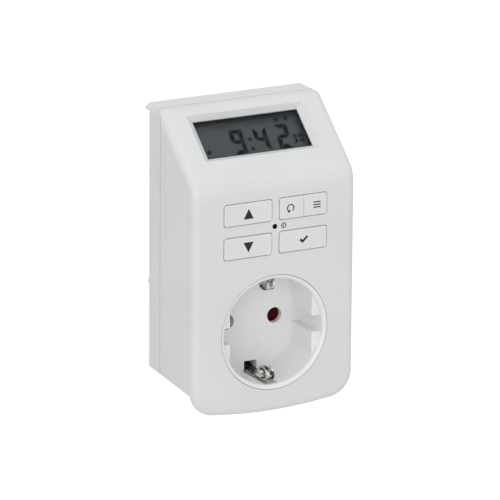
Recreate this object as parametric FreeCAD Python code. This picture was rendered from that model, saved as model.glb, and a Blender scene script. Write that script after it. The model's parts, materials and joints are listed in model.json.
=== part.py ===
import FreeCAD, Part
import math
import os

from FreeCAD import Placement, Rotation, Vector

# Plug-in timer switch for an earthed two-pin wall outlet.
# Millimetres. The front looks along -Y, the wall is towards +Y and +Z is up.
# The origin is on the plug's axis, on the flat end that the pins come out of.
# Depths are measured back from the front face, heights from the plug's axis.

# Plug and socket
pin_spacing = 19.0
pin_diameter = 4.8
pin_length = 19.0
plug_depth = 19.0
plug_diameter = 36.6
plug_flat_half_width = 15.7
plug_rib_height = 5.2
plug_wall = 2.4
plug_end_radius = 1.2
pin_neck_radius = 2.1
pin_neck_length = 0.1
pin_groove_width = 0.2
pin_groove_depth = 0.5
recess_diameter = 39.0
recess_depth = 18.0
recess_wall = 1.3
recess_floor = 2.2
recess_lead_in = 0.9
pad_half_width = 16.2
pad_setback = 2.7
groove_height = 6.0
pin_hole_diameter = 5.7

# Body
body_width = 63.8
body_depth = 38.0
height_above_axis = 77.8
height_below_axis = 29.4
wall = 2.2
slant_start_height = 55.1
slant_end_depth = 26.4
front_fold_radius = 10.0
top_fold_radius = 4.0
edge_radius = 2.8
corner_radius = 9.5
bottom_sag = 2.9
back_edge_radius = 5.0
top_ledge = 2.0
seam_depth = 25.65
seam_step = 3.15
seam_jog_height = 2.5
seam_jog_rise = 0.8
seam_gap = 0.4
tongue_reach = 1.5
front_lip = 3.0
grip_rise = 9.1
grip_sag = 8.0
grip_slope = 4.0

# Display
window_side = 11.25
window_height_share = 0.46
window_foot_share = 0.385
recess_margin_side = 2.3
recess_margin_bottom = 2.0
recess_margin_top = 1.6
display_recess = 1.8
lens_thickness = 1.2
lens_lap = 1.2
panel_thickness = 2.2
holder_depth = 4.5
holder_rim = 1.0
board_thickness = 1.6

# Keys
key_width = 19.1
key_height = 8.2
key_column_gap = 2.6
key_row_drop = 10.4
key_row_pitch = 12.1
key_clearance = 0.25
key_split = 0.16
key_proud = 0.5
key_thickness = 3.0
key_flange = 0.8
key_travel = 0.6
key_corner_radius = 0.9
key_stem_radius = 1.7
reset_diameter = 1.9
reset_travel = 0.4

# Fits
snug = 0.1
slack = 0.2
ring_gap = 0.2
metal = 0.7
strap_width = 4.6

# Fasteners
screw_diameter = 2.6
screw_head_diameter = 4.8
screw_head_height = 1.8
screw_inset = 5.7
upper_screw_drop = 9.8
lower_screw_height = -12.0
post_diameter = 5.4
boss_diameter = 6.4
head_seat_rise = 7.0
screw_bite = 5.4
pilot_spare = 0.7

# Boards
control_board_depth = 10.8
control_board_side = 6.9
control_board_over_insert = 4.8
control_board_over_keys = 4.2
power_board_rise = 7.0
power_board_side = 8.9
power_board_height = 38.0
power_board_foot = 24.0
link_cable_width = 10.0
link_cable_thickness = 1.2
link_cable_rise = 1.6
ribbon_width = 16.0
ribbon_thickness = 0.3
ribbon_loop = 2.5
ribbon_lap = 4.0
wire_radius = 0.9
wire_bend = 2.2

# Board components
battery_radius = 5.8
battery_thickness = 3.2
battery_place = 12.0
chip_width = 10.0
chip_height = 9.0
chip_thickness = 1.4
chip_place = -1.5
chip_share = 0.42
chip_legs = 7
leg_width = 0.4
leg_reach = 1.0
crystal_radius = 1.0
crystal_length = 6.0
crystal_place = -16.0
crystal_rise = 5.0
relay_left = -18.5
relay_width = 19.0
relay_depth = 12.0
relay_height = 15.4
component_rise = 6.5
component_radius = 0.6
film_left = 3.0
film_width = 17.0
film_depth = 11.0
film_height = 8.0
can_radius = 5.0
can_length = 11.5
can_place = 8.5
can_rise = 21.0
disc_radius = 4.4
disc_thickness = 3.4
disc_place = 16.0
fuse_radius = 2.2
fuse_length = 12.0
fuse_left = -12.0
fuse_rise = 30.0
fuse_cap_length = 2.4
switch_size = 6.0
switch_depth = 3.4

front_y = -(plug_depth + body_depth)
half_width = body_width / 2
recess_radius = recess_diameter / 2
insert_radius = recess_radius + recess_wall
pin_radius = pin_diameter / 2
pin_offset = pin_spacing / 2
top = height_above_axis
bottom = -height_below_axis
slope = math.atan2(top - slant_start_height, slant_end_depth)
slant_angle = math.degrees(slope)
slant_length = math.hypot(top - slant_start_height, slant_end_depth)
seam_top_depth = seam_depth + seam_step
window_width = body_width - 2 * window_side
window_height = window_height_share * slant_length
window_offset = window_foot_share * slant_length
upper_row_height = slant_start_height - key_row_drop
lower_row_height = upper_row_height - key_row_pitch
screw_column = half_width - screw_inset
upper_screw_height = top - upper_screw_drop
head_seat_depth = body_depth - head_seat_rise
control_board_width = body_width - 2 * control_board_side
control_board_foot = insert_radius + control_board_over_insert
control_board_height = upper_row_height + control_board_over_keys - control_board_foot
power_board_depth = body_depth - power_board_rise
power_board_width = body_width - 2 * power_board_side
plug_face_depth = body_depth + plug_depth
insert_back = recess_depth + recess_floor
beyond = 60.0


def at(x, depth, z):
    """Point from its place across, its depth behind the front face and its height."""
    return Vector(x, front_y + depth, z)


def box(x0, x1, d0, d1, z0, z1):
    """Block between two places across, two depths and two heights."""
    return Part.makeBox(x1 - x0, d1 - d0, z1 - z0, at(x0, d0, z0))


def rod(radius, x, z, d0, d1):
    """Round bar along the depth."""
    return Part.makeCylinder(radius, d1 - d0, at(x, d0, z), Vector(0, 1, 0))


def turned(points):
    """Solid turned about the plug's axis from (radius, depth) points."""
    outline = Part.makePolygon([at(r, d, 0) for r, d in points + points[:1]])
    return Part.Face(outline).revolve(at(0, 0, 0), Vector(0, 1, 0), 360)


def side_prism(points, x0, x1):
    """Solid with a (depth, height) outline, between two places across."""
    outline = Part.makePolygon([at(x0, d, z) for d, z in points + points[:1]])
    return Part.Face(outline).extrude(Vector(x1 - x0, 0, 0))


def joined(shapes):
    """One solid from overlapping shapes."""
    return shapes[0].fuse(shapes[1:]).removeSplitter()


def rounded(shape, radius, chosen):
    """The shape with a fillet on the edges that pass the test."""
    return shape.makeFillet(radius, [edge for edge in shape.Edges if chosen(edge)])


def runs_along(edge, axis):
    """True for a straight edge along the axis."""
    if not isinstance(edge.Curve, Part.Line):
        return False
    return abs(edge.tangentAt(edge.FirstParameter).dot(axis)) > 0.999


def sag_arc(x, z_ends, z_middle, depth):
    """Arc hanging between two ends at the same height."""
    return Part.Arc(at(-x, depth, z_ends), at(0, depth, z_middle), at(x, depth, z_ends)).toShape()


def sagging_prism(x, z_top, z_ends, z_middle, d0, travel):
    """Solid with a straight top and sides and an arched underside."""
    arc = sag_arc(x, z_ends, z_middle, d0)
    rest = Part.makePolygon([at(x, d0, z_ends), at(x, d0, z_top), at(-x, d0, z_top), at(-x, d0, z_ends)])
    outline = Part.Wire(arc.Edges + rest.Edges)
    return Part.Face(outline).extrude(travel)


def slant_point(inset, depth):
    """Height of the slanted face, moved in by the inset, at a depth."""
    return slant_start_height + depth * math.tan(slope) - inset / math.cos(slope)


def side_form(inset):
    """The body as seen from the side: front, slant, top and back."""
    high = top - inset
    fold_depth = (high - slant_point(inset, 0)) / math.tan(slope)
    points = [
        (inset, -beyond),
        (inset, slant_point(inset, inset)),
        (fold_depth, high),
        (body_depth - inset, high),
        (body_depth - inset, -beyond),
    ]
    form = side_prism(points, -beyond, beyond)
    front_z = points[1][1]

    def near(depth, z):
        return lambda edge: runs_along(edge, Vector(1, 0, 0)) and (
            edge.CenterOfMass - at(0, depth, z)).Length < 0.5

    form = rounded(form, front_fold_radius - inset, near(inset, front_z))
    return rounded(form, max(top_fold_radius - inset, 0.8), near(fold_depth, high))


def front_form(inset):
    """The body as seen from the front, with its round lower corners."""
    x = half_width - inset
    low = bottom + inset
    form = sagging_prism(x, beyond * 2, low + bottom_sag, low, -beyond, Vector(0, 3 * beyond, 0))
    return rounded(form, corner_radius - inset, lambda edge: runs_along(edge, Vector(0, 1, 0))
                   and edge.CenterOfMass.z < 0)


def plan_form(inset, z_top):
    """The body as seen from above, with its round back edges."""
    x = half_width - inset
    form = box(-x, x, -beyond, body_depth - inset, -beyond, z_top)
    return rounded(form, back_edge_radius - inset, lambda edge: runs_along(edge, Vector(0, 0, 1))
                   and edge.CenterOfMass.y > front_y)


def grip_form(inset):
    """The body behind the front lip, where the underside rises to be gripped."""
    x = half_width - inset
    ends = bottom + grip_rise + inset
    middle = ends - grip_sag
    travel = Vector(0, body_depth - inset, (body_depth - inset) * math.tan(math.radians(grip_slope)))
    form = sagging_prism(x, beyond * 2, ends, middle, 0, travel)
    return rounded(form, max(edge_radius - inset, 0.6) * 0.7, lambda edge: edge.CenterOfMass.z < ends + 6
                   and abs(abs(edge.CenterOfMass.x) - x) < 0.01 and edge.Length > body_depth / 2)


def on_rim(edge):
    """True for an edge that runs round the front of the body and over its top."""
    ends = edge.ParameterRange
    points = [edge.valueAt(ends[0] + share * (ends[1] - ends[0])) for share in (0, 0.5, 1)]
    side = all(abs(abs(point.x) - half_width) < 0.01 for point in points)
    front = all(abs(point.y - front_y) < 0.01 for point in points)
    back = all(point.y > front_y + body_depth - 0.01 for point in points)
    low = runs_along(edge, Vector(0, 1, 0)) and points[0].z < 0
    return (side or front) and not back and not low and not runs_along(edge, Vector(1, 0, 0))


def body_form(inset):
    """The whole body, moved in by the inset."""
    form = side_form(inset).common(front_form(inset))
    if inset > 0:
        return form.common(plan_form(inset, top)).common(grip_form(inset))
    form = rounded(form, edge_radius, on_rim)
    ledge = box(-beyond, beyond, -beyond, beyond * 2, top - top_ledge, beyond * 2)
    lip = box(-beyond, beyond, -beyond, front_lip, -beyond, beyond * 2)
    form = form.common(plan_form(0, top).fuse(ledge))
    return form.common(grip_form(0).fuse(lip))


def seam_form(shift):
    """Everything in front of the seam between the shells, moved back by the shift."""
    jog = top - seam_jog_height
    points = [
        (-beyond, -beyond),
        (seam_depth + shift, -beyond),
        (seam_depth + shift, jog),
        (seam_top_depth + shift, jog + seam_jog_rise),
        (seam_top_depth + shift, beyond * 2),
        (-beyond, beyond * 2),
    ]
    return side_prism(points, -beyond, beyond)


def on_slant(shape):
    """Moves a shape from the slanted face's own frame to its place."""
    reach = window_offset
    origin = at(0, reach * math.cos(slope), slant_start_height + reach * math.sin(slope))
    moved = shape.copy()
    moved.Placement = Placement(origin, Rotation(Vector(1, 0, 0), slant_angle)).multiply(moved.Placement)
    return moved


def slant_box(x, s0, s1, n0, n1):
    """Block on the slanted face: half width, places up the slope, and depths under the face."""
    return on_slant(Part.makeBox(2 * x, s1 - s0, n1 - n0, Vector(-x, s0, -n1)))


def slant_rod(radius, x, s, n0, n1):
    """Round bar square to the slanted face, between two depths under it."""
    return on_slant(Part.makeCylinder(radius, n1 - n0, Vector(x, s, -n1)))


def rounded_block(x0, x1, z0, z1, d0, d1, radius):
    """Block with its four edges along the depth rounded."""
    return rounded(box(x0, x1, d0, d1, z0, z1), radius, lambda edge: runs_along(edge, Vector(0, 1, 0)))


def strip(points, thickness, width):
    """Bent metal strip of one thickness along (depth, height) points, centred across."""
    count = len(points)
    sides = ([], [])
    for index in range(count):
        before = points[max(index - 1, 0)]
        after = points[min(index + 1, count - 1)]
        here = points[index]
        first = unit(before, here) if index > 0 else unit(here, after)
        second = unit(here, after) if index < count - 1 else first
        normal = (-(first[1] + second[1]), first[0] + second[0])
        scale = thickness / (normal[0] * -first[1] + normal[1] * first[0])
        for side, sign in zip(sides, (0.5, -0.5)):
            side.append((here[0] + sign * scale * normal[0], here[1] + sign * scale * normal[1]))
    return side_prism(sides[0] + sides[1][::-1], -width / 2, width / 2)


def unit(start, end):
    """Direction from one (depth, height) point to the next."""
    span = math.hypot(end[0] - start[0], end[1] - start[1])
    return ((end[0] - start[0]) / span, (end[1] - start[1]) / span)


def wire(points, radius, bend):
    """Insulated wire along straight runs joined by bends of one radius."""
    edges = []
    start = points[0]
    for here, after in zip(points[1:-1], points[2:]):
        back = (start - here).normalize()
        on = (after - here).normalize()
        half_turn = back.getAngle(on) / 2
        reach = bend / math.tan(half_turn)
        middle = (back + on).normalize()
        centre = here + middle * (bend / math.sin(half_turn))
        entry = here + back * reach
        leave = here + on * reach
        edges.append(Part.LineSegment(start, entry).toShape())
        edges.append(Part.Arc(entry, centre - middle * bend, leave).toShape())
        start = leave
    edges.append(Part.LineSegment(start, points[-1]).toShape())
    path = Part.Wire(edges)
    ring = Part.Wire(Part.makeCircle(radius, points[0], points[1] - points[0]))
    return path.makePipeShell([ring], True, False)


def key_opening(column, row, half=0):
    """Places across and up of a key's opening; half picks one side of a shared one."""
    left = key_column_gap / 2 if column > 0 else -key_column_gap / 2 - key_width
    right = left + key_width
    middle = (left + right) / 2
    if half < 0:
        right = middle
    if half > 0:
        left = middle
    centre = upper_row_height if row > 0 else lower_row_height
    return left, right, centre - key_height / 2, centre + key_height / 2


mat_thickness = 1.0
dome_height = 1.4
dome_radius = 2.6
mat_front = control_board_depth - mat_thickness
dome_top = mat_front - dome_height
reset_height = (upper_row_height + lower_row_height) / 2
reset_place = -0.28
reset_radius = reset_diameter / 2
key_flange_thickness = 0.9
flange_front = wall + snug
stem_end = dome_top - key_travel - slack
key_places = {
    "key_up": (-1, 1, 0),
    "key_down": (-1, -1, 0),
    "key_recall": (1, 1, -1),
    "key_menu": (1, 1, 1),
    "key_ok": (1, -1, 0),
}


def make_key(column, row, half):
    """Key cap with its flange inside the front wall and its stem."""
    left, right, low, high = key_opening(column, row, half)
    x0 = left + (key_clearance if half <= 0 else key_split / 2)
    x1 = right - (key_clearance if half >= 0 else key_split / 2)
    z0 = low + key_clearance
    z1 = high - key_clearance
    spare = 2 * key_corner_radius
    cap = rounded_block(x0 - max(half, 0) * spare, x1 - min(half, 0) * spare, z0, z1, -key_proud, key_thickness,
                        key_corner_radius)
    front = lambda edge: edge.BoundBox.YMax < front_y - key_proud + 0.01
    cap = cap.makeFillet(key_proud * 0.9, [edge for edge in cap.Edges if front(edge)])
    cap = cap.common(box(x0, x1, -key_proud, key_thickness, z0, z1))
    f0 = left - key_flange if half <= 0 else x0
    f1 = right + key_flange if half >= 0 else x1
    flange = box(f0, f1, flange_front, flange_front + key_flange_thickness, low - key_flange, high + key_flange)
    middle = (x0 + x1) / 2
    centre = (z0 + z1) / 2
    stem = rod(key_stem_radius, middle, centre, key_thickness - slack, stem_end)
    return joined([cap, flange, stem])


def key_centre(column, row, half):
    """Place of a key's stem."""
    left, right, low, high = key_opening(column, row, half)
    shift = (2 * key_clearance - key_split) / 4 * half
    return (left + right) / 2 - shift, (low + high) / 2


face_wall = 2.5
groove_depth = 1.1
hollow_radius = plug_diameter / 2 - plug_wall
strap_height = plug_diameter / 2 - groove_depth + metal / 2
strap_slot = strap_width + 2 * slack
clip_width = 3.0
clip_depth = 6.25
clip_reach = 3.3
clip_rise = 2.3
clip_sweep = 300.0
clip_shoulder = 11.0
clip_lane = recess_radius - 0.55
clip_groove = recess_radius + 0.9
flange_reach = 1.3
insert_flange_back = 4.2
carrier_front = insert_back + 1.8
carrier_thickness = 2.2
carrier_back = carrier_front + carrier_thickness
carrier_radius = 19.6
sleeve_gap = 0.6
sleeve_length = body_depth - wall - sleeve_gap - carrier_back
contact_radius = 3.3
contact_bore = pin_radius - 0.05
contact_front = carrier_back + slack
contact_length = 13.5
contact_back = contact_front + contact_length
contact_base = 1.0
pin_tail = plug_face_depth - 7.0
collar_radius = 3.5
collar_thickness = 1.5
carrier_screw_place = 11.5
shutter_thickness = 1.3
shutter_front = insert_back + 0.3
blade_radius = 3.5
arm_half = 2.2
hub_radius = 3.4
pivot_radius = 1.5
pivot_clearance = 0.05
spring_radius = 2.6
spring_wire = 0.25
recess_land = 0.4
lens_front = display_recess + recess_land + 0.05
pad_back = lens_front + lens_thickness + 0.2
holder_front = pad_back + snug
holder_back = holder_front + holder_depth
panel_front = holder_front + 0.05
glass_lap = 0.9
glass_half = window_width / 2 + glass_lap
holder_half = glass_half + snug + holder_rim
board_half = holder_half
pad_half = window_width / 2 + 2.2
display_screw_column = 17.5
display_boss_offset = 2.1
small_screw_radius = 1.0
small_head_radius = 1.9
small_head_height = 1.2
small_boss_radius = 2.0
post_radius = post_diameter / 2
boss_radius = boss_diameter / 2
screw_radius = screw_diameter / 2
head_radius = screw_head_diameter / 2
boss_front = seam_depth - 0.3
screw_tip = boss_front - screw_bite
pilot_end = screw_tip - pilot_spare
housing_screws_at = [(side * screw_column, z) for side in (-1, 1) for z in (upper_screw_height, lower_screw_height)]
control_board_back = control_board_depth + board_thickness
power_board_back = power_board_depth + board_thickness
control_post_column = control_board_width / 2 - 1.8
control_posts = [(side * control_post_column, control_board_foot + 2.0 + rise)
                 for side in (-1, 1) for rise in (0, control_board_height - 4.0)]
power_post_column = power_board_width / 2 - 2.6
power_posts = [(side * power_post_column, power_board_foot + 2.6 + rise)
               for side in (-1, 1) for rise in (0, power_board_height - 5.2)]


def display_recess_form():
    """Tapered recess round the window, with its straight land."""
    half = window_width / 2
    outer = [(-half - recess_margin_side, -recess_margin_bottom),
             (half + recess_margin_side, -recess_margin_bottom),
             (half + recess_margin_side, window_height + recess_margin_top),
             (-half - recess_margin_side, window_height + recess_margin_top)]
    inner = [(-half, 0), (half, 0), (half, window_height), (-half, window_height)]
    rings = [Part.makePolygon([Vector(x, s, n) for x, s in ring + ring[:1]])
             for ring, n in ((outer, 0), (inner, -display_recess))]
    taper = Part.makeLoft(rings, True, True)
    lid = Part.makeBox(2 * (half + recess_margin_side), window_height + recess_margin_bottom + recess_margin_top,
                       3, Vector(-half - recess_margin_side, -recess_margin_bottom, 0))
    hole = Part.makeBox(2 * half, window_height, 6, Vector(-half, 0, -display_recess - 5.9))
    return on_slant(taper.fuse([lid, hole]))


def make_front_housing():
    """Front shell with the display recess, the key openings and the screw posts."""
    shell = body_form(0).cut(body_form(wall)).common(seam_form(0))
    rebate = body_form(wall / 2).common(seam_form(0)).cut(seam_form(-tongue_reach - slack))
    shell = shell.cut(rebate)
    half = window_width / 2
    pad = slant_box(pad_half, -lens_lap - 5.0, window_height + lens_lap + 3.6, wall - 0.4, pad_back)
    posts = [rod(post_radius, x, z, wall / 2, boss_front - snug) for x, z in housing_screws_at if z < 0]
    slant_depth = (upper_screw_height - slant_start_height) / math.tan(slope)
    posts += [rod(post_radius, x, z, slant_depth, boss_front - snug) for x, z in housing_screws_at if z > 0]
    posts += [rod(small_boss_radius - 0.2, x, z, wall / 2, control_board_depth) for x, z in control_posts]
    ears = [slant_rod(small_boss_radius, x, s, wall / 2, holder_back)
            for x in (-display_screw_column, display_screw_column) for s in display_screw_rows]
    inside = body_form(wall / 2).common(seam_form(0).fuse(body_form(wall + snug)))
    pad = pad.common(seam_form(0))
    body = joined([shell] + [piece.common(inside) for piece in [pad] + posts + ears])
    cuts = [display_recess_form()]
    cuts.append(slant_box(half + lens_lap, -lens_lap, window_height + lens_lap, display_recess + recess_land, 9.0))
    cuts.append(rod(insert_radius + ring_gap, 0, 0, -1, wall + 1))
    openings = [key_opening(-1, 1), key_opening(-1, -1), key_opening(1, 1), key_opening(1, -1)]
    cuts += [rounded_block(*place, -1, wall + 1, key_corner_radius + key_clearance) for place in openings]
    cuts.append(rod(reset_radius, reset_place, reset_height, -1, wall + 1))
    cuts += [rod(screw_radius + 0.05, x, z, pilot_end, boss_front + 1) for x, z in housing_screws_at]
    cuts += [rod(small_screw_radius + 0.05, x, z, control_board_depth - 4.0, control_board_depth + 1)
             for x, z in control_posts]
    cuts += [slant_rod(small_screw_radius + 0.05, x, s, holder_back - 4.0, holder_back + 1)
             for x in (-display_screw_column, display_screw_column) for s in display_screw_rows]
    return body.cut(cuts)


display_screw_rows = (-glass_lap - holder_rim - display_boss_offset,
                      window_height + glass_lap + holder_rim + display_boss_offset)


def plug_form(grow, d0, d1):
    """Plug body's section: round, with flat sides and a rib along each flat."""
    radius = plug_diameter / 2 - grow
    flat = plug_flat_half_width - grow
    rib = plug_rib_height / 2 - grow
    round_body = rod(radius, 0, 0, d0, d1)
    if grow == 0:
        end = lambda edge: edge.BoundBox.YMin > front_y + d1 - 0.01
        round_body = round_body.makeFillet(plug_end_radius, [edge for edge in round_body.Edges if end(edge)])
    core = box(-flat, flat, d0, d1, -beyond, beyond)
    ribs = box(-radius + 0.3, radius - 0.3, d0, d1, -rib, rib)
    return round_body.common(core.fuse(ribs)) if grow == 0 else round_body.common(core)


def make_rear_housing():
    """Rear shell with the top ledge, the plug body and the screw bosses."""
    shell = body_form(0).cut(body_form(wall)).cut(seam_form(seam_gap))
    tongue = body_form(wall / 2 + snug).cut(body_form(wall))
    tongue = tongue.common(seam_form(seam_gap + wall)).cut(seam_form(-tongue_reach))
    tongue = tongue.cut(box(-pad_half - slack, pad_half + slack, 0, beyond, upper_screw_height, beyond * 2))
    plug = plug_form(0, body_depth - wall / 2, plug_face_depth)
    inside = body_form(wall / 2)
    bosses = [rod(boss_radius, x, z, boss_front, body_depth) for x, z in housing_screws_at]
    posts = [rod(small_boss_radius, x, z, power_board_back, body_depth) for x, z in power_posts]
    body = joined([shell, tongue, plug] + [piece.common(inside) for piece in bosses + posts])
    cuts = [plug_form(plug_wall, body_depth - wall - 1, plug_face_depth - face_wall)]
    for side in (-1, 1):
        cuts.append(rod(pin_neck_radius + 0.02, side * pin_offset, 0, plug_face_depth - 5, plug_face_depth + 1))
        cuts.append(rod(pin_radius + pin_groove_width, side * pin_offset, 0, plug_face_depth - pin_groove_depth,
                        plug_face_depth + 1))
        low = strap_height - metal / 2 - 0.05
        z0, z1 = (low, low + 4) if side > 0 else (-low - 4, -low)
        cuts.append(box(-strap_slot / 2, strap_slot / 2, body_depth - wall, plug_face_depth - 1.0, z0, z1)
                    .common(rod(plug_diameter / 2 + 0.4, 0, 0, 0, plug_face_depth)))
    cuts += [rod(screw_radius + 0.15, x, z, boss_front - 1, body_depth + 1) for x, z in housing_screws_at]
    cuts += [rod(head_radius + 0.2, x, z, head_seat_depth, body_depth + 1) for x, z in housing_screws_at]
    cuts += [rod(small_screw_radius + 0.05, x, z, power_board_back - 1, power_board_back + 3.0)
             for x, z in power_posts]
    return body.cut(cuts)


def make_socket_insert():
    """Round socket recess with its side pads, pin holes and earth slots."""
    lead = recess_lead_in
    flange = insert_radius + flange_reach
    body = turned([
        (0, recess_depth), (recess_radius, recess_depth), (recess_radius, lead), (recess_radius + lead, 0),
        (insert_radius, 0), (insert_radius, wall + snug), (flange, wall + snug),
        (flange, insert_flange_back), (insert_radius, insert_flange_back),
        (insert_radius, insert_back), (0, insert_back),
    ])
    ring = rod(recess_radius + 0.2, 0, 0, pad_setback, recess_depth + 0.2)
    pads = []
    for side in (-1, 1):
        block = box(*sorted((side * pad_half_width, side * beyond)), 0, beyond, -beyond, beyond)
        groove = box(*sorted((side * pad_half_width - side, side * (recess_radius + 0.1))), 0, beyond,
                     -groove_height / 2, groove_height / 2)
        pads.append(ring.common(block).cut(groove))
    bosses = [rod(2.2, side * carrier_screw_place, side * carrier_screw_place, insert_back - 0.2, carrier_front)
              for side in (-1, 1)]
    body = joined([body] + pads + bosses)
    slot = strap_slot / 2
    cuts = []
    for side in (-1, 1):
        cuts.append(rod(pin_hole_diameter / 2, side * pin_offset, 0, recess_depth - 1, insert_back + 1))
        reach = sorted((side * (strap_height - 2.0), side * clip_groove))
        cuts.append(box(-slot, slot, clip_depth - clip_reach - 0.6, insert_back + 1, *reach))
        cuts.append(rod(0.8, side * carrier_screw_place, side * carrier_screw_place, insert_back - 1.2, carrier_front + 1))
    cuts.append(rod(pivot_radius + 0.05, 0, 0, insert_back - 1.0, insert_back + 1))
    mark = rod(2.5, 0.7, -9.2, recess_depth - 0.1, recess_depth + 0.25)
    tick = box(-0.25, 0.25, recess_depth - 0.1, recess_depth + 0.3, 2.7, 3.8)
    return body.cut(cuts + [mark, tick])


def make_contact_carrier():
    """Plate behind the recess that holds the contacts and the shutter's pivot."""
    notch = strap_slot / 2 + 0.2
    plate = rod(carrier_radius, 0, 0, carrier_front, carrier_back)
    skirt = rod(carrier_radius, 0, 0, insert_back, carrier_front + 0.1)
    skirt = skirt.cut(rod(carrier_radius - 1.0, 0, 0, insert_back - 1, carrier_front + 1))
    pivot = rod(pivot_radius, 0, 0, insert_back - 0.8, carrier_front + 0.1)
    sleeves = [rod(contact_radius + 1.2, side * pin_offset, 0, carrier_front + 0.1, carrier_back + sleeve_length)
               for side in (-1, 1)]
    body = joined([plate, skirt, pivot] + sleeves)
    cuts = []
    for side in (-1, 1):
        place = side * carrier_screw_place
        cuts.append(rod(contact_radius + snug, side * pin_offset, 0, carrier_back, carrier_back + sleeve_length + 1))
        cuts.append(rod(pin_hole_diameter / 2, side * pin_offset, 0, carrier_front - 1, carrier_back + 1))
        cuts.append(box(-notch, notch, insert_back - 1, carrier_back + 1, *sorted((side * (strap_height - 1.0),
                                                                                  side * beyond))))
        cuts.append(rod(small_screw_radius + 0.1, place, place, carrier_front - 1, carrier_back + 1))
    groove = rod(spring_radius + 0.5, 0, 0, carrier_front - 0.1, carrier_front + 0.8)
    cuts.append(groove.cut(rod(spring_radius - 0.5, 0, 0, carrier_front - 1, carrier_front + 1)))
    return body.cut(cuts)


def make_socket_shutter():
    """Turning child guard: a hub with an arm and a blade over each pin hole."""
    back = shutter_front + shutter_thickness
    pieces = [rod(hub_radius, 0, 0, shutter_front, back)]
    pieces.append(box(-pin_offset, pin_offset, shutter_front, back, -arm_half, arm_half))
    pieces += [rod(blade_radius, side * pin_offset, 0, shutter_front, back) for side in (-1, 1)]
    return joined(pieces).cut(rod(pivot_radius + pivot_clearance, 0, 0, 0, beyond))


def make_shutter_spring():
    """Open ring of spring wire in the carrier's groove."""
    place = at(0, carrier_front + 0.4, 0)
    ring = Part.makeTorus(spring_radius, spring_wire, place, Vector(0, 1, 0))
    return ring.cut(box(0, 6, carrier_front - 1, carrier_front + 2, -0.5, 0.5))


def make_contact(side):
    """Split brass sleeve behind a pin hole, closed at its back."""
    x = side * pin_offset
    body = rod(contact_radius, x, 0, contact_front, contact_back)
    bore = rod(contact_bore, x, 0, contact_front - 1, contact_back - contact_base)
    slit = box(x - 0.4, x + 0.4, contact_front - 1, contact_back - contact_base - 2, -beyond, beyond)
    mouth = Part.makeCone(contact_bore + 0.6, contact_bore, 1.5, at(x, contact_front - 0.1, 0), Vector(0, 1, 0))
    return body.cut([bore, slit, mouth])


def make_pin(side):
    """Solid plug pin with a round nose, a neck through the face, a collar and a tail."""
    x = side * pin_offset
    tip = plug_face_depth + pin_length
    stem = rod(pin_radius, x, 0, plug_face_depth + pin_neck_length, tip)
    nose = lambda edge: edge.BoundBox.YMin > front_y + tip - 0.01
    stem = stem.makeFillet(pin_radius * 0.8, [edge for edge in stem.Edges if nose(edge)])
    neck = rod(pin_neck_radius, x, 0, pin_tail, plug_face_depth + pin_neck_length + 0.5)
    seat = plug_face_depth - face_wall
    return joined([stem, neck, rod(collar_radius, x, 0, seat - collar_thickness, seat)])


def make_earth_strap(side):
    """Spring strip from the plug's side, through the floor slot, to its curled front end."""
    steps = 20
    points = [(plug_face_depth - 1.4, strap_height), (carrier_back + 1.0, strap_height), (insert_back + 0.5, clip_lane)]
    for step in range(steps + 1):
        angle = math.radians(clip_sweep * step / steps)
        points.append((clip_depth - clip_reach * math.sin(angle), clip_lane - clip_rise * (1 - math.cos(angle))))
    band = strip([(depth, side * height) for depth, height in points], metal, strap_width)
    trims = [box(*sorted((edge * clip_width / 2, edge * beyond)), -beyond, clip_shoulder, -beyond, beyond)
             for edge in (-1, 1)]
    slit = box(-0.3, 0.3, clip_shoulder + 1.0, insert_back - 1.0, -beyond, beyond)
    return band.cut(trims + [slit])


def make_earth_bridge():
    """Strip that joins the two earth straps behind the carrier."""
    inner = strap_height - metal / 2 - 0.02
    d0 = carrier_back + 4.0
    web = box(-strap_width / 2, strap_width / 2, d0, d0 + metal, -inner, inner)
    feet = [box(-strap_width / 2, strap_width / 2, d0, d0 + 4.0, *sorted((side * (inner - metal), side * inner)))
            for side in (-1, 1)]
    return joined([web] + feet)


def make_neutral_bar():
    """Brass bar from the right contact to the right pin's tail."""
    return box(pin_offset - 1.5, pin_offset + 1.5, contact_back, pin_tail, -0.6, 0.6)


def make_lens():
    """Clear window behind the display recess."""
    half = window_width / 2 + lens_lap - snug
    return slant_box(half, snug - lens_lap, window_height + lens_lap - snug, lens_front, lens_front + lens_thickness)


def make_panel():
    """Liquid crystal glass."""
    return slant_box(glass_half, -glass_lap, window_height + glass_lap, panel_front, panel_front + panel_thickness)


def make_holder():
    """Frame round the display glass."""
    low = -glass_lap - snug
    high = window_height + glass_lap + snug
    ring = slant_box(holder_half, low - holder_rim, high + holder_rim, holder_front, holder_back)
    hole = slant_box(glass_half + snug, low, high, holder_front - 1, panel_front + panel_thickness + 0.05)
    strip_hole = slant_box(glass_half + snug, low, low + 3.0, holder_front, holder_back + 1)
    view = slant_box(glass_half - 3.0, low + 4.0, high - 2.0, holder_front, holder_back + 1)
    return ring.cut([hole, strip_hole, view])


def make_zebra_strip():
    """Rubber strip that joins the glass to its board."""
    low = -glass_lap + 0.2
    return slant_box(glass_half - 0.5, low, low + 2.0, panel_front + panel_thickness, holder_back)


def make_display_board():
    """Board behind the display holder."""
    rows = display_screw_rows
    board = slant_box(board_half, rows[0] - 2.2, rows[1] + 1.6, holder_back, holder_back + board_thickness)
    return board.cut([slant_rod(small_screw_radius + 0.1, x, s, 0, beyond)
                      for x in (-display_screw_column, display_screw_column) for s in rows])


def make_display_screws():
    """Four small screws through the display board."""
    back = holder_back + board_thickness
    screws = []
    for x in (-display_screw_column, display_screw_column):
        for s in display_screw_rows:
            shank = slant_rod(small_screw_radius, x, s, holder_back - 3.5, back + 0.2)
            screws.append(joined([shank, slant_rod(small_head_radius, x, s, back, back + small_head_height)]))
    return Part.makeCompound(screws)


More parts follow.
